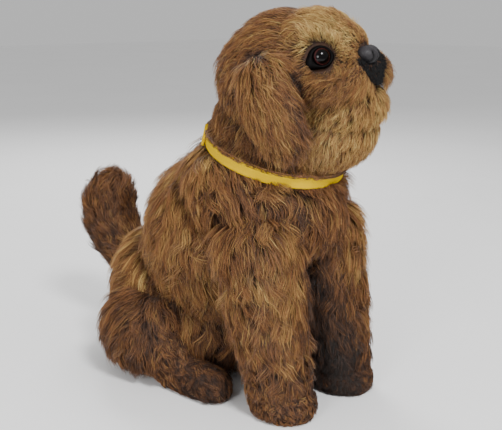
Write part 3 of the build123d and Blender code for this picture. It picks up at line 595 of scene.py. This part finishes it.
for i, side in enumerate(("right", "left")):
    surface = hinds[side]
    pelt = grow(
        surface, 0.8, 41 + i, haunch_flow,
        lambda p, n: 7 + 15 * smooth_step(20, 60, p[:, 1]) * smooth_step(8, 30, p[:, 2]),
        # Painted top light: the tone rises where the pile faces up; it also falls towards the front of the
        # foot.
        lambda p, n: 0.32 + 0.06 * n[:, 2] - 0.12 * smooth_step(30, 5, p[:, 1]),
        lambda p, n: (p[:, 2] > 2.4) & outside(p, (0, 76, 60), (54, 61, 50), 10),
        rise=0.56, wave=1.8, wavelength=15, width=0.62, clump=0.72, per_lock=22, segs=4, sag=0.3, swirl=0.45,
    )
    spikes(f"hind_leg_fur_{side}", pelt, surface, FUR)

# ---- tail ----
TAIL_PATH = [
    (143, 60, 12),
    (160, 68, 15.5),
    (180, 82, 18.5),
    (192, 98, 20.5),
    (194, 112, 20.5),
    (192, 123, 17.5),
    (190, 130, 12),
]
TAIL = []
for (y0, z0, r0), (y1, z1, r1) in zip(TAIL_PATH, TAIL_PATH[1:]):
    TAIL += limb((0, y0, z0), (0, y1, z1), r0, r1, steps=4)
tail = skin("tail_pelt", TAIL, 2.0, "tail", UNDER)
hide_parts("tail_plush")


def tail_flow(p, n):
    """Along the tail towards its tip."""
    line = np.array([(y, z) for y, z, _ in TAIL_PATH], float)
    ahead = np.gradient(line, axis=0)
    near = np.argmin(((p[:, None, 1:] - line[None]) ** 2).sum(2), 1)
    f = np.zeros_like(p)
    f[:, 1:] = ahead[near]
    return unit(f)


tail_fur = grow(
    tail, 0.85, 51, tail_flow,
    lambda p, n: 19 + 0 * p[:, 2],
    # Painted top light: the tone rises where the pile faces up.
    lambda p, n: 0.3 + 0.06 * n[:, 2],
    rise=0.75, wave=1.6, wavelength=15, width=0.62, clump=0.74, per_lock=22, segs=4, sag=0.1, swirl=0.35,
)
spikes("tail_fur", tail_fur, tail, FUR)

# ---- head ----
HEAD = [
    ellipsoid((0, -33, 241), (52, 47, 49)),
    ellipsoid((0, -61, 258), (35, 25, 27)),
    ellipsoid((0, -68, 240), (40, 34, 28)),
    ellipsoid((0, -56, 270), (34, 26, 21)),
    ellipsoid((0, -71, 267), (25, 20, 17)),
    ellipsoid((0, -79, 252), (21, 17, 16)),
    ellipsoid((19, -80, 247), (22.5, 20, 18.5)),
    ellipsoid((-19, -80, 247), (22.5, 20, 18.5)),
    ellipsoid((0, -26, 212), (47.5, 47.5, 44)),
]
CHIN = [ellipsoid((0, -64, 211), (37, 33, 30)), ellipsoid((0, -76, 226), (35, 27, 18))]


def mouth_line(p):
    """Height above the plane through the jaw pin that the mouth opens along."""
    return p[:, 2] - JAW_AT[2] + (p[:, 1] - JAW_AT[1]) * MOUTH_RISE


def head_shape(co):
    """Flat over the mouth, closed at the neck, with a socket for each eye."""
    co = co.copy()
    over = mouth_line(co)
    front = smooth_step(-55, -66, co[:, 1])
    co[:, 2] += np.maximum(LIP_GAP - over, 0) * front * (over < LIP_GAP)
    low = np.maximum(-4 - above_neck(co), 0)
    co += low[:, None] * NECK_AXIS
    for s in (1, -1):
        out = EYE_OUT * (s, 1, 1)
        q = co - EYE_AT * (s, 1, 1)
        deep = q @ out
        flat = np.linalg.norm(q - deep[:, None] * out, axis=1)
        socket = 0.3 + 9 * smooth_step(EYE_CLEAR, 2 * EYE_CLEAR, flat)
        co -= out * (np.maximum(deep - socket, 0) * (flat < 2 * EYE_CLEAR) * (deep > -5))[:, None]
    return co


def chin_shape(co):
    """Flat under the mouth."""
    co = co.copy()
    over = mouth_line(co)
    co[:, 2] -= np.maximum(over + LIP_GAP, 0)
    return co


head = skin("head_pelt", HEAD, 2.0, "head", UNDER, on_head=True, shape=head_shape)
chin = skin("chin_pelt", CHIN, 2.0, "jaw", UNDER, on_head=True, shape=chin_shape)
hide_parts("head_plush")
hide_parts("chin_plush")


def head_flow(p, n):
    """Away from the nose and from the eyes, and down on the cheeks."""
    away = unit(p - np.array([0, -104, 260.0]))
    cheek = smooth_step(256, 225, p[:, 2])
    away[:, 2] -= 0.1 + 1.3 * cheek
    for s in (1, -1):
        q = p - EYE_AT * (s, 1, 1)
        near = np.exp(-(np.maximum(np.linalg.norm(q, axis=1) - 10, 0) / 6) ** 2)
        away += 2.2 * near[:, None] * unit(q)
    return away


EAR_AT = np.array([57.0, -47.0, 233.0])
EAR_TILT = -26


def ear_share(p):
    """Distance from the ear's middle in its own plane, as a share of its outline; large off the sides."""
    turn = spin(ACROSS, math.radians(EAR_TILT))
    q = ((p - EAR_AT * (0, 1, 1)) * (0, 1, 1)) @ turn
    share = np.hypot(q[:, 1] / 20, q[:, 2] / 31)
    return np.where(np.abs(p[:, 0]) > 28, share, 9.0)


def ear_gap_shade(p):
    """1 along the ear's outline, where the pile parts and where painted shade marks the gap round the ear."""
    return np.exp(-(((ear_share(p) - 1.05) / 0.18) ** 2))


def face_near(p):
    """1 at the nose, falling to 0 behind the eyes."""
    return 1 - smooth_step(18, 62, np.linalg.norm(p - np.array([0, -98, 258.0]), axis=1))


def head_length(p, n):
    """Short at the nose and along the ears' outline, long on the cheeks, under the nose and at the nape."""
    near = face_near(p)
    cheek = smooth_step(240, 215, p[:, 2])
    under = smooth_step(258, 244, p[:, 2]) * smooth_step(-60, -80, p[:, 1])
    nape = np.exp(-((p - np.array([-26, 6, 266.0])) ** 2).sum(1) / 14**2)
    full = 4.5 + 11 * (1 - near) + 6 * cheek * (1 - near) + 7 * under + 11 * nape
    return full * (1 - 0.55 * np.exp(-(((ear_share(p) - 1.1) / 0.3) ** 2)))


def head_tone(p, n):
    """Light brows and muzzle, darker bridge and under-eye, and painted shade along the ear outline."""
    near = face_near(p)
    bridge = np.exp(-((p[:, 0] / 9) ** 2)) * smooth_step(-60, -85, p[:, 1]) * smooth_step(255, 268, p[:, 2])
    eye = np.zeros(len(p))
    for s in (1, -1):
        d = np.linalg.norm(p - EYE_AT * (s, 1, 1), axis=1)
        eye = np.maximum(eye, np.exp(-((d / 17) ** 2)))
    brow = smooth_step(-45, -66, p[:, 1]) * smooth_step(258, 275, p[:, 2])
    cheek = smooth_step(-60, -72, p[:, 1]) * smooth_step(10, 20, np.abs(p[:, 0]))
    under_eye = np.exp(-(((p[:, 2] - 252) / 8) ** 2)) * cheek
    spots = 0.16 * eye * (1 - 0.6 * near) + 0.22 * brow - 0.3 * bridge - 0.1 * under_eye
    return 0.42 + 0.16 * near + spots - 0.36 * ear_gap_shade(p)


def heart(p):
    """True on the dark patch round the mouth, under the nose."""
    x, z = np.abs(p[:, 0]), p[:, 2]
    wide = 3 + 17 * np.clip((z - 239) / 16, 0, 1)
    return (p[:, 1] < -80) & (x < wide) & (z < 257 + 0.15 * x)


def clear_of_eyes(p):
    """True away from the two eye sockets."""
    ok = np.ones(len(p), bool)
    for s in (1, -1):
        q = p - EYE_AT * (s, 1, 1)
        out = EYE_OUT * (s, 1, 1)
        flat = q - (q @ out)[:, None] * out
        ok &= (np.linalg.norm(flat, axis=1) > EYE_CLEAR) | (q @ out < -12)
    return ok


def head_keep(p, n):
    """Leaves out the neck, eyes, nose, mouth, lip patch and the skin under the ears."""
    nose = outside(p, NOSE_AT, (9.5, 9, 7.5))
    mouth = ~((mouth_line(p) < 1.0) & (p[:, 1] < -62) & (p[:, 1] > -87))
    return (above_neck(p) > NECK_STOP) & clear_of_eyes(p) & nose & mouth & ~heart(p) & (ear_share(p) > 0.85)


def is_face(p):
    """True on the short, fine pile round the muzzle."""
    return np.linalg.norm(p - np.array([0, -98, 256.0]), axis=1) < 48


crown = grow(
    head, 1.15, 61, head_flow, head_length, head_tone,
    lambda p, n: head_keep(p, n) & ~is_face(p),
    rise=0.62, wave=1.3, wavelength=15, width=0.5, clump=0.5, per_lock=9, segs=4, sag=0.25, swirl=0.34,
    guard=over_collar,
)
spikes("head_fur", crown, head, FUR)
face = grow(
    head, 2.5, 62, head_flow, head_length, head_tone,
    lambda p, n: head_keep(p, n) & is_face(p),
    rise=0.6, wave=0.6, wavelength=10, width=0.36, clump=0.32, per_lock=7, segs=4, sag=0.15,
    swirl=0.24, jitter=0.26,
)
spikes("face_fur", face, head, FUR)
patch = grow(
    head, 2.4, 63, head_flow, lambda p, n: 3.2 + 0 * p[:, 2], lambda p, n: 0.4 + 0 * p[:, 2],
    lambda p, n: heart(p) & outside(p, NOSE_AT, (9, 8, 6.5)),
    rise=0.9, wave=0.4, wavelength=5, width=0.6, clump=0.4, per_lock=7, segs=3, sag=0.1, swirl=0.7,
)
for piece in spikes("lip_fur", patch, head, BLACK_FUR):
    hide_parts("lip_patch")


def chin_flow(p, n):
    """Away from the mouth and down."""
    away = unit(p - np.array([0, -104, 240.0]))
    away[:, 2] -= 0.9
    return away


def chin_keep(p, n):
    """Under the mouth, above the collar, and outside the throat."""
    throat = outside(p, (0, -26, 212), (44, 44, 40))
    return (mouth_line(p) < -1.2) & (above_neck(p) > NECK_STOP) & throat


beard = grow(
    chin, 1.35, 64, chin_flow,
    lambda p, n: 12 + 9 * smooth_step(-88, -60, p[:, 1]),
    lambda p, n: 0.64 - 0.14 * smooth_step(-80, -50, p[:, 1]) - 0.12 * smooth_step(200, 185, p[:, 2]),
    chin_keep,
    rise=0.6, wave=1.2, wavelength=14, width=0.46, clump=0.45, per_lock=8, segs=4, sag=0.4, swirl=0.28,
    guard=over_collar,
)
spikes("chin_fur", beard, chin, FUR)
fringe = grow(
    chin, 2.2, 65, lambda p, n: np.array([0.0, -0.6, 1.0]) + 0 * p,
    lambda p, n: 5 + 0 * p[:, 2], lambda p, n: 0.45 + 0 * p[:, 2],
    lambda p, n: (mouth_line(p) > -4.5) & (p[:, 1] < -84),
    rise=0.9, wave=0.6, wavelength=9, width=0.4, clump=0.3, per_lock=7, segs=3, sag=0.0, swirl=0.3,
)
spikes("lip_fringe", fringe, chin, FUR)

# ---- ears ----
def ear_flow(p, n):
    """Down and forwards, fanning out from the ear's middle line."""
    f = np.zeros_like(p)
    across = (p[:, 1] - EAR_AT[1]) + (p[:, 2] - EAR_AT[2]) * -0.49
    f[:, 1] = -0.45 + 0.02 * across
    f[:, 2] = -1
    return f


for i, (side, sign) in enumerate((("right", -1), ("left", 1))):
    blobs = [
        ellipsoid(EAR_AT * (sign, 1, 1), (6.0, 19, 31), EAR_TILT),
        ellipsoid((EAR_AT + (-5, 8, 21)) * (sign, 1, 1), (9, 14, 11), EAR_TILT),
    ]
    ear = skin(f"ear_pelt_{side}", blobs, 1.6, "head", UNDER, on_head=True)
    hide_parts(f"ear_{side}")

    pile = grow(
        ear, 1.3, 71 + i, ear_flow,
        lambda p, n: 19 + 0 * p[:, 2],
        # Painted top light where the pile faces up, and painted shade towards the ear's front edge, in the
        # gap at the head.
        lambda p, n: 0.47 + 0.04 * n[:, 2] - 0.2 * smooth_step(-58, -66, p[:, 1]),
        rise=0.5, wave=1.9, wavelength=16, width=0.52, clump=0.55, per_lock=10, segs=4, sag=0.25, swirl=0.22,
    )
    spikes(f"ear_fur_{side}", pile, ear, FUR)

# ---- carried-over CAD nodes ----
NYLON = mottled("natural_nylon", srgb(214, 208, 190), srgb(232, 228, 214), 60, 0.45, grain=0.2)
SHELL_GREY = mottled("shell_grey", srgb(122, 124, 126), srgb(140, 142, 144), 40, 0.5, grain=0.3)
DARK_ABS = mottled("dark_abs", srgb(28, 28, 30), srgb(44, 44, 46), 60, 0.42, grain=0.3)
STEEL = mottled("turned_steel", srgb(150, 152, 156), srgb(196, 198, 200), 140, 0.28, 1.0)
CAN = mottled("motor_can", srgb(128, 130, 134), srgb(176, 178, 182), 90, 0.34, 1.0)
BRASS = mottled("brass", srgb(176, 138, 62), srgb(206, 168, 88), 120, 0.3, 1.0)
BOARD = mottled("board_green", srgb(18, 74, 40), srgb(30, 100, 54), 220, 0.4, grain=0.3)
CELL = mottled("cell_sleeve", srgb(40, 60, 92), srgb(58, 82, 118), 60, 0.35)
RED = mottled("red_button", srgb(168, 30, 26), srgb(196, 44, 36), 60, 0.4)
LOOKS = [
    (("collar",), YELLOW),
    (("paw_soles",), FELT),
    (("cells",), CELL),
    (("contacts", "washer", "screw", "pin", "shaft"), STEEL),
    (("pinion",), BRASS),
    (("motor_plate",), STEEL),
    (("motor",), CAN),
    (("gear", "turntable", "bearing", "bone"), NYLON),
    (("board",), BOARD),
    (("speaker",), DARK_ABS),
    (("button",), RED),
    (("switch", "door", "base", "battery"), DARK_ABS),
]
for name, obj in NODES.items():
    look = SHELL_GREY
    for words, material in LOOKS:
        if any(word in name for word in words) and not name.startswith("tail_bracket"):
            look = material
            break
    obj.data.materials.clear()
    obj.data.materials.append(look)

# ---- eyes ----
def eye_material(name, centre, out):
    mat, tree, bsdf = fresh(name)
    where = add_node(tree, "ShaderNodeTexCoord")
    rel = add_node(tree, "ShaderNodeVectorMath", operation="SUBTRACT")
    tree.links.new(where.outputs["Object"], rel.inputs[0])
    rel.inputs[1].default_value = centre
    norm = add_node(tree, "ShaderNodeVectorMath", operation="NORMALIZE")
    tree.links.new(rel.outputs[0], norm.inputs[0])
    dot = add_node(tree, "ShaderNodeVectorMath", operation="DOT_PRODUCT")
    tree.links.new(norm.outputs[0], dot.inputs[0])
    dot.inputs[1].default_value = out
    angle = math_node(tree, "DIVIDE", math_node(tree, "ARCCOSINE", dot.outputs["Value"]), math.pi / 2)
    rings = ramp(
        tree,
        [
            (0.0, srgb(4, 3, 3)),
            (0.42, srgb(6, 4, 4)),
            (0.47, srgb(24, 10, 10)),
            (0.53, srgb(62, 28, 28)),
            (0.58, srgb(22, 10, 10)),
            (0.64, srgb(5, 4, 4)),
        ],
        angle,
    )
    tree.links.new(rings.outputs["Color"], bsdf.inputs["Base Color"])
    bsdf.inputs["Roughness"].default_value = 0.06
    bsdf.inputs["Specular IOR Level"].default_value = 0.18
    return mat


RIM = mottled("rim_black", srgb(6, 5, 5), srgb(14, 12, 12), 200, 0.6, grain=0.2, spec=0.06)


def closed_tube(name, rings, material, body, on_head):
    """Closed surface through rings of points, joined round both ways."""
    count, around = len(rings), len(rings[0])
    verts = seat(np.array(rings).reshape(-1, 3), on_head)
    faces = []
    for i in range(count):
        for j in range(around):
            k, m = (i + 1) % count, (j + 1) % around
            faces.append((i * around + j, k * around + j, k * around + m, i * around + m))
    mesh = bpy.data.meshes.new(name)
    mesh.from_pydata([tuple(v) for v in verts], [], faces)
    mesh.update()
    bm = bmesh.new()
    bm.from_mesh(mesh)
    bmesh.ops.recalc_face_normals(bm, faces=bm.faces)
    bm.to_mesh(mesh)
    bm.free()
    mesh.shade_smooth()
    mesh.materials.append(material)
    obj = bpy.data.objects.new(name, mesh)
    bpy.context.scene.collection.objects.link(obj)
    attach(obj, body)
    return obj


# Round the rim's section: share of the way from its inner to its outer edge, and height in millimetres.
RIM_SECTION = [(0.0, 2.9), (0.3, 3.9), (0.65, 3.4), (1.0, 1.2), (0.9, -1.2), (0.4, -1.5), (0.0, 0.6)]

for side, sign in (("right", -1), ("left", 1)):
    at = EYE_AT * (sign, 1, 1)
    out = EYE_OUT * (sign, 1, 1)
    row = seat(at, True)
    row_out = HEAD_SPIN @ out
    node = NODES[f"eyeball_{side}"]
    node.data.materials.clear()
    node.data.materials.append(eye_material(f"eye_glass_{side}", tuple(row), tuple(row_out)))
    up = unit(np.array([0, 0, 1.0]) - out[2] * out)
    back = unit(np.cross(up, out)) * sign
    back = back if back[1] > 0 else -back
    rings = []
    for i in range(48):
        a = 2 * math.pi * i / 48
        c, s = math.cos(a), math.sin(a)
        corner = max(0.0, math.cos(a + math.radians(34))) ** 8
        front = max(0.0, math.cos(a - math.radians(180))) ** 10
        wide = 8.9 + 3.9 * corner + 0.9 * front
        across = back * c * 1.02 + up * s * 0.89
        inner = 6.35
        ring = []
        for share, lift in RIM_SECTION:
            ring.append(at + across * (inner + (wide - inner) * share) + out * (lift + 0.3))
        rings.append(ring)
    rim = closed_tube(f"eye_surround_{side}", rings, RIM, "head", True)
    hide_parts(f"eye_rim_{side}")

# ---- nose ----
def nose_material():
    """Grained grey vinyl, with painted shade inside the nostrils and the groove, and painted top light:
    lighter towards the top.
    """
    mat, tree, bsdf = fresh("nose_vinyl")
    uv = add_node(tree, "ShaderNodeUVMap", uv_map="OFBake")
    split = add_node(tree, "ShaderNodeSeparateXYZ")
    tree.links.new(uv.outputs["UV"], split.inputs[0])
    greys = [(0.05, srgb(38, 36, 38)), (0.35, srgb(12, 11, 12)), (0.7, srgb(1, 1, 1))]
    nostril_shade = ramp(tree, greys, split.outputs["X"])
    # Painted top light: the nose is lighter towards its top.
    lit = ramp(tree, [(0.15, (0.5,) * 3), (0.85, (1.6,) * 3)], split.outputs["Y"])
    mix = add_node(tree, "ShaderNodeMix", data_type="RGBA", blend_type="MULTIPLY")
    mix.inputs[0].default_value = 1.0
    tree.links.new(nostril_shade.outputs["Color"], mix.inputs[6])
    tree.links.new(lit.outputs["Color"], mix.inputs[7])
    tree.links.new(mix.outputs[2], bsdf.inputs["Base Color"])
    bsdf.inputs["Roughness"].default_value = 0.4
    bsdf.inputs["Specular IOR Level"].default_value = 0.22
    return mat


NOSE_SKIN = nose_material()


def build_nose():
    mesh = bpy.data.meshes.new("nose_cap")
    bm = bmesh.new()
    bmesh.ops.create_icosphere(bm, subdivisions=6, radius=1)
    rng = np.random.default_rng(5)
    points = np.array([v.co for v in bm.verts])
    x, y, z = points.T
    form = points * NOSE_SIZE
    form[:, 0] *= 1 + 0.16 * z
    form[:, 2] -= 1.2 * np.exp(-((x / 0.25) ** 2)) * (z > 0) * np.maximum(z, 0)
    front = smooth_step(0.0, -0.5, y)

    def slot(side, wide):
        """1 in the middle of a nostril, 0 away from it."""
        return np.exp(-(((x - side * (0.48 - 0.16 * z)) / wide) ** 2) - ((z + 0.05) / 0.5) ** 4)

    for s in (1, -1):
        slot_dent = slot(s, 0.12)
        lobe = np.exp(-(((x - s * 0.7) / 0.22) ** 2) - ((z + 0.1) / 0.6) ** 2)
        form[:, 1] += front * (5.0 * slot_dent - 1.6 * lobe)
    groove = np.exp(-((x / 0.07) ** 2)) * smooth_step(0.15, -0.35, z)
    form[:, 1] += front * 1.4 * groove
    # Painted shade in the nostril slots and down the middle groove.
    dark = np.clip(slot(1, 0.14) + slot(-1, 0.14), 0, 1)
    dark = np.maximum(dark, 0.8 * np.exp(-((x / 0.06) ** 2)) * smooth_step(0.1, -0.3, z)) * front
    form += points * rng.normal(0, 0.1, (len(points), 1))
    place = seat(form + NOSE_AT + np.array([0, 0.5, 0]), True)
    for v, p in zip(bm.verts, place):
        v.co = Vector(p)
    bm.to_mesh(mesh)
    bm.free()
    layer = mesh.uv_layers.new(name="OFBake")
    corner = np.empty(len(mesh.loops), np.int32)
    mesh.loops.foreach_get("vertex_index", corner)
    # UV: painted shade of the nostrils and groove, then height for the painted top light.
    shade = np.stack([dark[corner] * 0.96 + 0.02, 0.5 + 0.4 * points[corner, 2]], 1)
    layer.uv.foreach_set("vector", shade.astype(np.float32).reshape(-1))
    mesh.shade_smooth()
    mesh.materials.append(NOSE_SKIN)
    obj = bpy.data.objects.new("nose_cap", mesh)
    bpy.context.scene.collection.objects.link(obj)
    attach(obj, "head")
    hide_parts("nose")


build_nose()

# ---- floor, light, camera ----
floor_mesh = bpy.data.meshes.new("floor")
FLOOR_HALF = 6
FLOOR_Z = -0.0002
corners = [(x * FLOOR_HALF, y * FLOOR_HALF, FLOOR_Z) for x, y in ((-1, -1), (1, -1), (1, 1), (-1, 1))]
floor_mesh.from_pydata(corners, [], [(0, 1, 2, 3)])
floor = bpy.data.objects.new("floor", floor_mesh)
bpy.context.scene.collection.objects.link(floor)
floor_mesh.materials.append(mottled("floor_white", (0.93, 0.93, 0.93), (0.96, 0.96, 0.96), 3, 0.8, grain=0.0))

world = bpy.data.worlds.new("studio")
bpy.context.scene.world = world
world.use_nodes = True
world.node_tree.nodes["Background"].inputs["Color"].default_value = (1, 1, 1, 1)
world.node_tree.nodes["Background"].inputs["Strength"].default_value = 0.6


def area_light(name, at, towards, size, power):
    data = bpy.data.lights.new(name, "AREA")
    data.shape = "DISK"
    data.size = size
    data.energy = power
    obj = bpy.data.objects.new(name, data)
    bpy.context.scene.collection.objects.link(obj)
    obj.location = at
    obj.rotation_euler = (Vector(towards) - Vector(at)).to_track_quat("-Z", "Y").to_euler()


area_light("key", (-0.35, -0.95, 1.15), (0, -0.05, 0.14), 0.35, 19)
area_light("fill", (-1.2, -0.5, 0.5), (0, 0, 0.12), 0.5, 9)
area_light("rim", (0.6, 0.9, 1.0), (0, 0, 0.15), 0.6, 11)

camera_data = bpy.data.cameras.new("camera")
camera = bpy.data.objects.new("camera", camera_data)
bpy.context.scene.collection.objects.link(camera)
bpy.context.scene.camera = camera
camera_data.sensor_width = 36
camera_data.lens = 61.1
camera_data.dof.use_dof = False
camera_data.clip_start = 0.02
camera.location = (-0.46464, -0.50310, 0.29087)
aim = Vector((0, -0.0449, 0.1342)) - Vector(camera.location)
camera.rotation_euler = aim.to_track_quat("-Z", "Y").to_euler()
